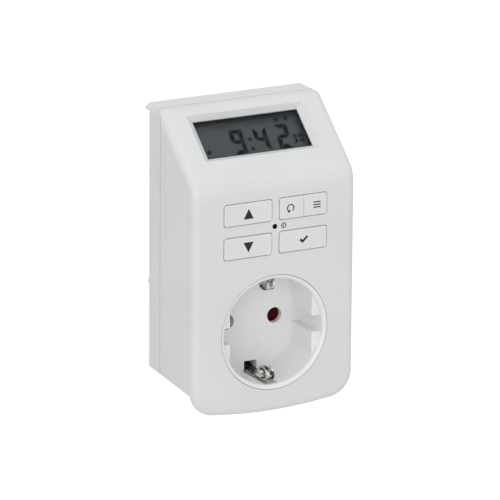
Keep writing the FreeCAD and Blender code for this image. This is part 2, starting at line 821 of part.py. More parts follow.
def make_ribbon():
    """Flat ribbon from the display board down to the control board."""
    foot = display_screw_rows[0] - 2.2
    inset = holder_back + board_thickness
    reach = window_offset + foot + ribbon_lap
    depth = reach * math.cos(slope) + inset * math.sin(slope)
    height = slant_start_height + reach * math.sin(slope) - inset * math.cos(slope)
    face = control_board_back + ribbon_thickness / 2 + 0.02
    high = control_board_foot + control_board_height
    points = [(depth, height), (depth + ribbon_loop * math.sin(slope), height - ribbon_loop * math.cos(slope)),
              (face, high - ribbon_lap / 2), (face, high - ribbon_lap)]
    return strip(points, ribbon_thickness, ribbon_width)


def make_key_mat():
    """Rubber mat on the control board, with its domes drawn pressed down."""
    high = control_board_foot + control_board_height
    mat = box(-control_post_column + 2.6, control_post_column - 2.6, mat_front, control_board_depth,
              control_board_foot + 0.6, high - 0.6)
    domes = []
    for place in key_places.values():
        x, z = key_centre(*place)
        domes.append(Part.makeCone(dome_radius, dome_radius * 0.7, dome_height + 0.1, at(x, mat_front + 0.1, z),
                                   Vector(0, -1, 0)))
    mat = joined([mat] + domes)
    return mat.cut(box(reset_place - 3.3, reset_place + 3.3, 0, beyond, reset_height - 3.3, reset_height + 3.3))


def make_control_board():
    """Board behind the keys."""
    half = control_board_width / 2
    board = box(-half, half, control_board_depth, control_board_back, control_board_foot,
                control_board_foot + control_board_height)
    return board.cut([rod(small_screw_radius + 0.1, x, z, 0, beyond) for x, z in control_posts])


def make_board_screws(places, seat, direction):
    """Small screws whose heads sit on a board."""
    screws = []
    for x, z in places:
        head = sorted((seat, seat + direction * small_head_height))
        shank = sorted((seat + direction * 0.2, seat - direction * (board_thickness + 2.8)))
        screws.append(joined([rod(small_screw_radius, x, z, *shank), rod(small_head_radius, x, z, *head)]))
    return Part.makeCompound(screws)


switch_front = control_board_depth - switch_depth


def make_reset_switch():
    """Small square push switch behind the reset hole."""
    half = switch_size / 2
    return box(reset_place - half, reset_place + half, switch_front, control_board_depth, reset_height - half,
               reset_height + half)


def make_reset_plunger():
    """Recessed pin that presses the reset switch."""
    stem = rod(reset_radius - 0.08, reset_place, reset_height, wall / 2, switch_front - reset_travel - slack)
    collar = rod(1.15, reset_place, reset_height, flange_front, flange_front + 0.8)
    return joined([stem, collar])


component_height = control_board_foot + chip_share * control_board_height


def make_battery():
    """Small backup cell on the back of the control board."""
    cell = rod(battery_radius, battery_place, component_height, control_board_back,
               control_board_back + battery_thickness)
    return cell.makeFillet(component_radius, cell.Edges)


def make_chip():
    """Controller chip with a row of legs along each side."""
    half = chip_height / 2
    left = chip_place - chip_width / 2
    body = box(left, left + chip_width, control_board_back + leg_width, control_board_back + chip_thickness,
               component_height - half, component_height + half)
    pitch = chip_height / chip_legs
    legs = []
    for count in range(chip_legs):
        z = component_height - half + pitch * (count + 0.5) - leg_width / 2
        legs.append(box(left - leg_reach, left + chip_width + leg_reach, control_board_back,
                        control_board_back + leg_width + 0.1, z, z + leg_width))
    return joined([body] + legs)


def make_crystal():
    """Watch crystal lying on the control board."""
    start = at(crystal_place, control_board_back + crystal_radius, control_board_foot + crystal_rise)
    return Part.makeCylinder(crystal_radius, crystal_length, start, Vector(0, 0, 1))


def make_power_board():
    """Board on the rear shell's posts."""
    half = power_board_width / 2
    board = box(-half, half, power_board_depth, power_board_back, power_board_foot,
                power_board_foot + power_board_height)
    return board.cut([rod(small_screw_radius + 0.1, x, z, 0, beyond) for x, z in power_posts])


def make_case(left, width, depth, height):
    """Box-shaped component standing on the front of the power board."""
    foot = power_board_foot + component_rise
    return rounded_block(left, left + width, foot, foot + height, power_board_depth - depth, power_board_depth,
                         component_radius)


def make_smoothing_capacitor():
    """Electrolytic can standing on the board."""
    front = power_board_depth - can_length
    can = rod(can_radius, can_place, power_board_foot + can_rise, front, power_board_depth)
    rim = lambda edge: edge.BoundBox.YMax < front_y + front + 0.01
    return can.makeFillet(component_radius, [edge for edge in can.Edges if rim(edge)])


def make_varistor():
    """Round surge absorber standing on edge."""
    start = at(disc_place, power_board_depth - disc_radius, power_board_foot + can_rise)
    disc = Part.makeCylinder(disc_radius, disc_thickness, start, Vector(1, 0, 0))
    return disc.makeFillet(disc_thickness * 0.3, disc.Edges)


def make_fuse():
    """Glass fuse with an end cap at each side, lying across the board."""
    def bar(radius, left, length):
        return Part.makeCylinder(radius, length, at(left, power_board_depth - fuse_radius,
                                                    power_board_foot + fuse_rise), Vector(1, 0, 0))
    glass = bar(fuse_radius - snug, fuse_left, fuse_length)
    caps = [bar(fuse_radius, left, fuse_cap_length) for left in (fuse_left, fuse_left + fuse_length - fuse_cap_length)]
    return joined([glass] + caps)


def make_link_cable():
    """Flat four-wire link between the two boards."""
    z = control_board_foot + link_cable_rise
    return box(-link_cable_width / 2, link_cable_width / 2, control_board_back, power_board_depth,
               z - link_cable_thickness / 2, z + link_cable_thickness / 2)


wire_rise = power_board_back + wire_radius + snug
wire_height = contact_radius + 4.2


def make_live_feed():
    """Wire from the left pin's tail up to the back of the power board."""
    points = [at(-pin_offset, pin_tail - slack, 0), at(-pin_offset, pin_tail - 5.0, 0),
              at(-pin_offset, pin_tail - 5.4, wire_height), at(-12.0, wire_rise, wire_height + 1.0),
              at(-12.0, wire_rise, power_board_foot + 5.0)]
    return wire(points, wire_radius, wire_bend)


def make_live_load():
    """Wire from the power board down to the back of the left contact."""
    back = contact_back + wire_radius + snug
    points = [at(-pin_offset + 1.0, back, 0), at(-pin_offset + 1.0, back, 6.0), at(-5.0, wire_rise, 14.0),
              at(-5.0, wire_rise, power_board_foot + 5.0)]
    return wire(points, wire_radius, wire_bend)


def make_neutral_feed():
    """Wire from the neutral bar up to the back of the power board."""
    depth = pin_tail - 6.0
    points = [at(pin_offset, depth, 0.7), at(pin_offset, depth, wire_height), at(12.0, wire_rise, wire_height + 1.0),
              at(12.0, wire_rise, power_board_foot + 5.0)]
    return wire(points, wire_radius, wire_bend)


def make_housing_screws():
    """Four long screws that close the two shells."""
    screws = []
    for x, z in housing_screws_at:
        shank = rod(screw_radius, x, z, screw_tip, head_seat_depth + 0.2)
        head = rod(head_radius, x, z, head_seat_depth, head_seat_depth + screw_head_height)
        cross = [box(x - 1.3, x + 1.3, head_seat_depth + 0.8, beyond, z - 0.25, z + 0.25),
                 box(x - 0.25, x + 0.25, head_seat_depth + 0.8, beyond, z - 1.3, z + 1.3)]
        screws.append(joined([shank, head]).cut(cross))
    return Part.makeCompound(screws)


def make_carrier_screws():
    """Two screws that hold the contact carrier to the insert."""
    places = [(side * carrier_screw_place, side * carrier_screw_place) for side in (-1, 1)]
    screws = []
    for x, z in places:
        shank = rod(0.75, x, z, insert_back - 1.0, carrier_back + 0.2)
        screws.append(joined([shank, rod(small_head_radius, x, z, carrier_back, carrier_back + small_head_height)]))
    return Part.makeCompound(screws)


nodes = {
    "front_housing": make_front_housing(),
    "rear_housing": make_rear_housing(),
    "socket_insert": make_socket_insert(),
    "contact_carrier": make_contact_carrier(),
    "carrier_screws": make_carrier_screws(),
    "socket_shutter": make_socket_shutter(),
    "shutter_spring": make_shutter_spring(),
    "socket_contact_left": make_contact(-1),
    "socket_contact_right": make_contact(1),
    "plug_pin_left": make_pin(-1),
    "plug_pin_right": make_pin(1),
    "earth_strap_upper": make_earth_strap(1),
    "earth_strap_lower": make_earth_strap(-1),
    "earth_bridge": make_earth_bridge(),
    "neutral_bar": make_neutral_bar(),
    "live_feed_wire": make_live_feed(),
    "live_load_wire": make_live_load(),
    "neutral_feed_wire": make_neutral_feed(),
    "display_lens": make_lens(),
    "lcd_panel": make_panel(),
    "display_holder": make_holder(),
    "zebra_strip": make_zebra_strip(),
    "display_board": make_display_board(),
    "display_screws": make_display_screws(),
    "ribbon_cable": make_ribbon(),
    "key_mat": make_key_mat(),
    "control_board": make_control_board(),
    "control_screws": make_board_screws(control_posts, control_board_back, 1),
    "reset_switch": make_reset_switch(),
    "reset_plunger": make_reset_plunger(),
    "backup_battery": make_battery(),
    "controller_chip": make_chip(),
    "clock_crystal": make_crystal(),
    "power_board": make_power_board(),
    "power_screws": make_board_screws(power_posts, power_board_depth, -1),
    "relay": make_case(relay_left, relay_width, relay_depth, relay_height),
    "film_capacitor": make_case(film_left, film_width, film_depth, film_height),
    "smoothing_capacitor": make_smoothing_capacitor(),
    "varistor": make_varistor(),
    "fuse": make_fuse(),
    "link_cable": make_link_cable(),
    "housing_screws": make_housing_screws(),
}
for name, place in key_places.items():
    nodes[name] = make_key(*place)

os.makedirs("parts", exist_ok=True)
for name, shape in nodes.items():
    shape.exportStep(os.path.join("parts", name + ".step"))
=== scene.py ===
"""Looks of a plug-in timer switch: finishes, key symbols, display figures, light and camera."""

import json
import logging
import math
from dataclasses import dataclass, field
from enum import Enum
from typing import Any

import bmesh
import bpy
from mathutils import Matrix, Vector

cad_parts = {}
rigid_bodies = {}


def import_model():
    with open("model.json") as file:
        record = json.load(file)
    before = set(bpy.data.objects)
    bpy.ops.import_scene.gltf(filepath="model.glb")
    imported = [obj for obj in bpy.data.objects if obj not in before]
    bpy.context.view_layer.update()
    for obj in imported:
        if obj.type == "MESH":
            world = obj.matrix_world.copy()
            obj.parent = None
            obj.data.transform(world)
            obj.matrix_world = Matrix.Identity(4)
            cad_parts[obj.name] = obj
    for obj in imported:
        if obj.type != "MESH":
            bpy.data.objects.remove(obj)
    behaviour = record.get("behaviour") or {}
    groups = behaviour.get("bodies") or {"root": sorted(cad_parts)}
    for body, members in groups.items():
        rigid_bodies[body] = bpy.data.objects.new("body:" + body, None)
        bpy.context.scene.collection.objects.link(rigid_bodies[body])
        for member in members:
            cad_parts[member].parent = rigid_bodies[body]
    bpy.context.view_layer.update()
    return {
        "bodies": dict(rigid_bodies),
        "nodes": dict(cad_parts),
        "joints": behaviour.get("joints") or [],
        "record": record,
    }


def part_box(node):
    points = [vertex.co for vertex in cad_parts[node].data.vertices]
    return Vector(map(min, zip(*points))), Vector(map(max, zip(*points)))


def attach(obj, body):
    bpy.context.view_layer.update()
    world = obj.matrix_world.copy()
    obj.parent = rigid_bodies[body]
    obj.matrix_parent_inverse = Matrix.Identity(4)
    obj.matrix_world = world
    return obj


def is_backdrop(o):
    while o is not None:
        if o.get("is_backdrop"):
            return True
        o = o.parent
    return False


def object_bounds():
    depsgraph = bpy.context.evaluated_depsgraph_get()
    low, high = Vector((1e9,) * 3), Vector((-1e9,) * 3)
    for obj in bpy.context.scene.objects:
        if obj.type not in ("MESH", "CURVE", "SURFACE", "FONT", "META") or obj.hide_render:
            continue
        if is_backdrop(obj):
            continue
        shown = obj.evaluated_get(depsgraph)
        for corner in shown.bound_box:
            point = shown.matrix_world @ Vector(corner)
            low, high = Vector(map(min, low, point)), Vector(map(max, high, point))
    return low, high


LOG = logging.getLogger("timer_switch")
MM = 0.001
MERGE_DISTANCE = 0.0005 * MM
LEVEL_STEP = 0.001 * MM
FULL_TURN = 360.0
ARC_STEP = 9.0
FEWEST_ARC_STEPS = 6
Colour = tuple[float, float, float]
Point = tuple[float, float]


class Body(Enum):
    """Bodies of the frame that new pieces ride on."""

    CASE = "case"
    UP = "key_up"
    DOWN = "key_down"
    RECALL = "key_recall"
    MENU = "key_menu"
    OK = "key_ok"


class Grain(Enum):
    """How a moulded surface is textured."""

    FINE = "fine"
    SATIN = "satin"
    POLISHED = "polished"


@dataclass(frozen=True)
class Texture:
    """Size of a moulded grain."""

    scale: float
    depth: float


TEXTURES = {
    Grain.FINE: Texture(3800.0, 0.028 * MM),
    Grain.SATIN: Texture(2200.0, 0.01 * MM),
    Grain.POLISHED: Texture(600.0, 0.003 * MM),
}


class Nodes:
    """Small helper that adds and links the shader nodes of one material or world."""

    noise_roughness: float = 0.55

    def __init__(self, material: bpy.types.Material | bpy.types.World) -> None:
        """Empties the tree of a material or a world.

        Args:
            material: The material or world whose nodes are rebuilt.
        """
        material.use_nodes = True
        self.tree = material.node_tree
        self.tree.nodes.clear()

    def add(self, kind: str, **values: Any) -> bpy.types.Node:
        """Adds a node and sets its inputs or its attributes.

        Args:
            kind: The node's type name.
            **values: Input names, with underscores for spaces, or attributes.

        Returns:
            The new node.
        """
        node = self.tree.nodes.new(kind)
        for name, value in values.items():
            if hasattr(node, name):
                setattr(node, name, value)
            else:
                node.inputs[name.replace("_", " ")].default_value = value
        return node

    def link(self, start: bpy.types.NodeSocket, end: bpy.types.NodeSocket) -> None:
        """Links two sockets."""
        self.tree.links.new(start, end)

    def surface(self, shader: bpy.types.NodeSocket, kind: str = "ShaderNodeOutputMaterial") -> None:
        """Shows a shader on the surface."""
        self.link(shader, self.add(kind).inputs["Surface"])

    def spread(self, source: bpy.types.NodeSocket, low: float, high: float) -> bpy.types.NodeSocket:
        """Spreads a value from 0 to 1 between two others.

        Args:
            source: The socket that gives the value.
            low: The result at 0.
            high: The result at 1.

        Returns:
            The result's socket.
        """
        node = self.add("ShaderNodeMapRange", To_Min=low, To_Max=high)
        self.link(source, node.inputs["Value"])
        return node.outputs["Result"]

    def ramp(self, source: bpy.types.NodeSocket,
             stops: list[tuple[float, Colour]]) -> bpy.types.NodeSocket:
        """Colours a value by its size.

        Args:
            source: The socket that gives the value.
            stops: Places and colours from low to high.

        Returns:
            The colour socket.
        """
        node = self.add("ShaderNodeValToRGB")
        node.color_ramp.elements[0].position = stops[0][0]
        node.color_ramp.elements[-1].position = stops[-1][0]
        for place, _ in stops[1:-1]:
            node.color_ramp.elements.new(place)
        for element, (_, colour) in zip(node.color_ramp.elements, stops):
            element.color = (*colour, 1.0)
        self.link(source, node.inputs["Fac"])
        return node.outputs["Color"]

    def noise(self, scale: float, detail: float) -> bpy.types.NodeSocket:
        """Adds noise on Object coordinates.

        Args:
            scale: Repeats per metre.
            detail: Octaves.

        Returns:
            The value socket.
        """
        place = self.add("ShaderNodeTexCoord")
        node = self.add("ShaderNodeTexNoise", Scale=scale, Detail=detail,
                        Roughness=self.noise_roughness)
        self.link(place.outputs["Object"], node.inputs["Vector"])
        return node.outputs["Fac"]

    def bump(self, height: bpy.types.NodeSocket, depth: float) -> bpy.types.NodeSocket:
        """Turns a height into a bump of a depth in metres.

        Args:
            height: The socket that gives the height.
            depth: The bump's depth in metres.

        Returns:
            The normal socket.
        """
        node = self.add("ShaderNodeBump", Strength=1.0, Distance=depth)
        self.link(height, node.inputs["Height"])
        return node.outputs["Normal"]


def shade(colour: Colour, factor: float) -> Colour:
    """The colour made lighter or darker by a factor."""
    return tuple(min(channel * factor, 1.0) for channel in colour)


@dataclass(frozen=True)
class Moulded:
    """Injection moulded plastic or rubber."""

    name: str
    colour: Colour
    roughness: float
    grain: Grain = Grain.FINE
    shift: float = 0.03
    coat: float = 0.0
    gloss: float = 0.5
    coat_roughness: float = 0.12
    cloud_scale: float = 38.0
    cloud_band: tuple[float, float] = (0.3, 0.7)
    cloud_detail: float = 3.0
    grain_detail: float = 4.0
    roughness_below: float = 0.05
    roughness_above: float = 0.06

    def build(self) -> bpy.types.Material:
        """Makes the material.

        Returns:
            The new material.
        """
        material = bpy.data.materials.new(self.name)
        nodes = Nodes(material)
        texture = TEXTURES[self.grain]
        shader = nodes.add("ShaderNodeBsdfPrincipled")
        shader.inputs["Coat Weight"].default_value = self.coat
        shader.inputs["Specular IOR Level"].default_value = self.gloss
        shader.inputs["Coat Roughness"].default_value = self.coat_roughness
        cloud = nodes.noise(self.cloud_scale, self.cloud_detail)
        tones = shade(self.colour, 1 - self.shift), shade(self.colour, 1 + self.shift / 2)
        nodes.link(nodes.ramp(cloud, list(zip(self.cloud_band, tones))), shader.inputs["Base Color"])
        grain = nodes.noise(texture.scale, self.grain_detail)
        low, high = self.roughness - self.roughness_below, self.roughness + self.roughness_above
        nodes.link(nodes.spread(grain, low, high), shader.inputs["Roughness"])
        nodes.link(nodes.bump(grain, texture.depth), shader.inputs["Normal"])
        nodes.surface(shader.outputs["BSDF"])
        return material


@dataclass(frozen=True)
class Metal:
    """Plated, stamped or drawn metal with faint drawing lines; where the dark tone is set low, the dark
    streaks are painted reflections.
    """

    name: str
    colour: Colour
    roughness: float
    line_scale: float = 900.0
    dark: float = 0.8
    band: tuple[float, float] = (0.35, 0.65)
    stretch: float = 0.05
    line_detail: float = 3.0
    line_depth: float = 0.004 * MM
    roughness_below: float = 0.06
    roughness_above: float = 0.1

    def build(self) -> bpy.types.Material:
        """Makes the material.

        Returns:
            The new material.
        """
        material = bpy.data.materials.new(self.name)
        nodes = Nodes(material)
        shader = nodes.add("ShaderNodeBsdfPrincipled", Metallic=1.0)
        place = nodes.add("ShaderNodeTexCoord")
        drawn = nodes.add("ShaderNodeMapping")
        along = self.line_scale * self.stretch
        drawn.inputs["Scale"].default_value = (self.line_scale, along, self.line_scale)
        nodes.link(place.outputs["Object"], drawn.inputs["Vector"])
        texture = nodes.add("ShaderNodeTexNoise", Scale=1.0, Detail=self.line_detail)
        nodes.link(drawn.outputs["Vector"], texture.inputs["Vector"])
        lines = texture.outputs["Fac"]
        # Where dark is set low, these dark streaks are painted reflections of dark surroundings, not only
        # drawing lines.
        tones = shade(self.colour, self.dark), self.colour
        nodes.link(nodes.ramp(lines, list(zip(self.band, tones))), shader.inputs["Base Color"])
        low, high = self.roughness - self.roughness_below, self.roughness + self.roughness_above
        nodes.link(nodes.spread(lines, low, high), shader.inputs["Roughness"])
        nodes.link(nodes.bump(lines, self.line_depth), shader.inputs["Normal"])
        nodes.surface(shader.outputs["BSDF"])
        return material


@dataclass(frozen=True)
class Clear:
    """Clear polished plastic or glass, thin enough to let light straight through."""

    name: str
    tint: Colour
    roughness: float
    body: float = 0.12
    refraction: float = 1.45
    haze_scale: float = 220.0
    haze_detail: float = 2.0
    haze_band: tuple[float, float] = (0.2, 0.8)
    haze_dark: float = 0.9
    haze_roughness: float = 0.03

    def build(self) -> bpy.types.Material:
        """Makes the material.

        Returns:
            The new material.
        """
        material = bpy.data.materials.new(self.name)
        nodes = Nodes(material)
        shader = nodes.add("ShaderNodeBsdfPrincipled", IOR=self.refraction, Alpha=self.body)
        haze = nodes.noise(self.haze_scale, self.haze_detail)
        tones = shade(self.tint, self.haze_dark), self.tint
        nodes.link(nodes.ramp(haze, list(zip(self.haze_band, tones))), shader.inputs["Base Color"])
        rough = nodes.spread(haze, self.roughness, self.roughness + self.haze_roughness)
        nodes.link(rough, shader.inputs["Roughness"])
        nodes.surface(shader.outputs["BSDF"])
        return material


@dataclass(frozen=True)
class EdgeShadedGlass:
    """Display glass with painted shade: its tone darkens towards its top and right edges."""

    name: str
    middle: Colour
    edge: Colour
    right: float
    top: float
    band: float = 4.5 * MM
    roughness: float = 0.22
    gloss: float = 0.12

    def build(self) -> bpy.types.Material:
        """Makes the material.

        Returns:
            The new material.
        """
        material = bpy.data.materials.new(self.name)
        nodes = Nodes(material)
        shader = nodes.add("ShaderNodeBsdfPrincipled", Roughness=self.roughness)
        shader.inputs["Specular IOR Level"].default_value = self.gloss
        place = nodes.add("ShaderNodeTexCoord")
        split = nodes.add("ShaderNodeSeparateXYZ")
        nodes.link(place.outputs["Object"], split.inputs["Vector"])
        # Painted shade: this mask rises towards the top and right edges of the glass.
        edge_shade_mask = nodes.add("ShaderNodeMath", operation="MAXIMUM")
        for index, (axis, end) in enumerate((("X", self.right), ("Z", self.top))):
            edge_shade_ramp = nodes.add("ShaderNodeMapRange", From_Min=end - self.band, From_Max=end)
            edge_shade_ramp.interpolation_type = "SMOOTHSTEP"
            nodes.link(split.outputs[axis], edge_shade_ramp.inputs["Value"])
            nodes.link(edge_shade_ramp.outputs["Result"], edge_shade_mask.inputs[index])
        stops = [(0.0, self.middle), (1.0, self.edge)]
        nodes.link(nodes.ramp(edge_shade_mask.outputs[0], stops), shader.inputs["Base Color"])
        nodes.surface(shader.outputs["BSDF"])
        return material


# Dark ink of the printed symbols, also used for the painted shade that lines the reset hole.
INK_AND_SHADE = Moulded("legend_ink_and_shade", (0.018, 0.021, 0.021), 0.6, Grain.POLISHED, gloss=0.3)
FIGURE = Moulded("display_figure", (0.003, 0.004, 0.005), 0.5, Grain.POLISHED, gloss=0.08)
FINISHES = {finish.name: finish for finish in (
    Moulded("shell_white", (0.76, 0.76, 0.757), 0.46),
    # Painted light: the insert's white is set brighter than the shell's, standing in for light reaching
    # into the socket recess.
    Moulded("insert_white", (0.88, 0.885, 0.875), 0.38, Grain.SATIN),
    Moulded("key_white", (0.78, 0.78, 0.777), 0.42),
    # Painted shade: the red shutter's colour is set near black for the shade deep in the pin holes.
    Moulded("shutter_red", (0.05, 0.001, 0.002), 0.5, Grain.SATIN, gloss=0.1),
    Moulded("carrier_plastic", (0.62, 0.62, 0.6), 0.45, Grain.SATIN),
    Metal("pin_metal", (0.74, 0.735, 0.71), 0.24),
    Metal("contact_brass", (0.78, 0.58, 0.26), 0.3),
    # Painted reflection: the strap's near-black streaks stand in for reflections of dark surroundings on
    # the plating.
    Metal("strap_metal", (0.8, 0.79, 0.76), 0.12, 420.0, 0.05, (0.42, 0.56)),
    Metal("spring_steel", (0.5, 0.5, 0.5), 0.3),
    Metal("screw_steel", (0.52, 0.52, 0.53), 0.34),
    Clear("lens_clear", (0.03, 0.034, 0.04), 0.03, 0.05),
    Moulded("board_green", (0.03, 0.16, 0.06), 0.28, Grain.POLISHED, 0.12, 0.4),
    Moulded("mat_grey", (0.3, 0.31, 0.32), 0.6),
    Moulded("part_black", (0.012, 0.012, 0.013), 0.45, Grain.SATIN, gloss=0.2),
    Metal("can_metal", (0.7, 0.71, 0.73), 0.28),
    Moulded("relay_case", (0.03, 0.08, 0.3), 0.3, Grain.POLISHED, 0.04, 0.3),
    Moulded("film_case", (0.7, 0.5, 0.08), 0.35, Grain.POLISHED),
    Moulded("disc_blue", (0.03, 0.1, 0.34), 0.3, Grain.POLISHED, 0.06, 0.3),
    Clear("fuse_glass", (0.5, 0.52, 0.51), 0.02, 0.3),
    Moulded("wire_brown", (0.13, 0.05, 0.02), 0.42, Grain.SATIN),
    Moulded("wire_blue", (0.02, 0.07, 0.35), 0.42, Grain.SATIN),
    Moulded("ribbon_grey", (0.4, 0.41, 0.42), 0.5, Grain.SATIN),
)}


def finish_piece(piece: bpy.types.Object, material: bpy.types.Material, body: Body) -> None:
    """Dresses a new piece and sets what it rides on.

    Args:
        piece: The new object.
        material: Its material.
        body: The body it moves with.
    """
    piece.data.materials.clear()
    piece.data.materials.append(material)
    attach(piece, body.value)
    LOG.info("%s rides on %s", piece.name, body.value)


def to_object(name: str, mesh: bmesh.types.BMesh) -> bpy.types.Object:
    """Turns a bmesh into a linked object with outward faces.

    Args:
        name: The object's name.
        mesh: The bmesh, which is freed.

    Returns:
        The new object.
    """
    bmesh.ops.remove_doubles(mesh, verts=mesh.verts, dist=MERGE_DISTANCE)
    bmesh.ops.recalc_face_normals(mesh, faces=mesh.faces)
    data = bpy.data.meshes.new(name)
    mesh.to_mesh(data)
    mesh.free()
    piece = bpy.data.objects.new(name, data)
    bpy.context.scene.collection.objects.link(piece)
    return piece


def raise_outline(mesh: bmesh.types.BMesh, points: list[Point], height: float) -> None:
    """Adds a flat outline and raises it into a thin slab on Z = 0.

    Args:
        mesh: The bmesh that it is added to.
        points: The outline's corners in turn, in metres.
        height: The slab's thickness.
    """
    corners = [mesh.verts.new((x, y, 0.0)) for x, y in points]
    face = mesh.faces.new(corners)
    raised = bmesh.ops.extrude_face_region(mesh, geom=[face])
    moved = [item for item in raised["geom"] if isinstance(item, bmesh.types.BMVert)]
    bmesh.ops.translate(mesh, verts=moved, vec=(0.0, 0.0, height))


def raise_ring(mesh: bmesh.types.BMesh, radius: float, width: float, height: float, centre: Vector,
               sweep: float = FULL_TURN, start: float = 0.0) -> None:
    """Spins a small rectangle into a flat ring or an arc.

    Args:
        mesh: The bmesh that it is added to.
        radius: The ring's middle radius.
        width: The line's width.
        height: The line's thickness.
        centre: The ring's centre.
        sweep: The angle that it covers, in degrees.
        start: Where it starts, in degrees from +X.
    """
    turn = Matrix.Rotation(math.radians(start), 3, "Z")
    corners = []
    for side, level in ((-0.5, 0.0), (0.5, 0.0), (0.5, height), (-0.5, height)):
        place = turn @ Vector((radius + side * width, 0.0, level))
        corners.append(mesh.verts.new(place + centre))
    face = mesh.faces.new(corners)
    whole = sweep == FULL_TURN
    steps = max(int(sweep / ARC_STEP), FEWEST_ARC_STEPS)
    bmesh.ops.spin(mesh, geom=[face, *face.edges, *face.verts], cent=centre, axis=(0, 0, 1),
                   angle=math.radians(sweep), steps=steps, use_merge=whole)
    if whole:
        bmesh.ops.delete(mesh, geom=[face], context="FACES_ONLY")


@dataclass
class Casing:
    """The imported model's own nodes, dressed by their material slots."""

    frame: dict[str, Any]
    smooth_angle: float = 32.0
    glass_middle: Colour = (0.07, 0.082, 0.087)
    # Painted shade: the glass's darker tone at its top and right edges.
    glass_edge_shade: Colour = (0.034, 0.038, 0.04)
    made: dict[str, bpy.types.Material] = field(default_factory=dict)

    def dress(self) -> None:
        """Gives each node its finish and smooth shading."""
        slots = {entry["node"]: entry["material_slot"] for entry in self.frame["record"]["subparts"]}
        for name, node in self.frame["nodes"].items():
            material = self.material_for(name, slots[name])
            node.data.materials.clear()
            node.data.materials.append(material)
            self.smooth(node)
            LOG.info("%s has %s", name, material.name)

    def material_for(self, name: str, slot: str) -> bpy.types.Material:
        """Finds or makes the finish of a node.

        Args:
            name: The node's name.
            slot: Its material slot.

        Returns:
            The material.
        """
        if slot not in self.made:
            finish = self.display_glass(name) if slot == "lcd_glass" else FINISHES[slot]
            self.made[slot] = finish.build()
        return self.made[slot]

    def display_glass(self, name: str) -> EdgeShadedGlass:
        """The display glass's finish, with its painted shade fitted to its node's top and right edges."""
        high = Vector(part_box(name)[1])
        return EdgeShadedGlass("lcd_glass", self.glass_middle, self.glass_edge_shade, high.x, high.z)

    def smooth(self, node: bpy.types.Object) -> None:
        """Marks a node's shading smooth, keeping edges sharper than the set angle."""
        node.data.shade_smooth()
        node.data.set_sharp_from_angle(angle=math.radians(self.smooth_angle))


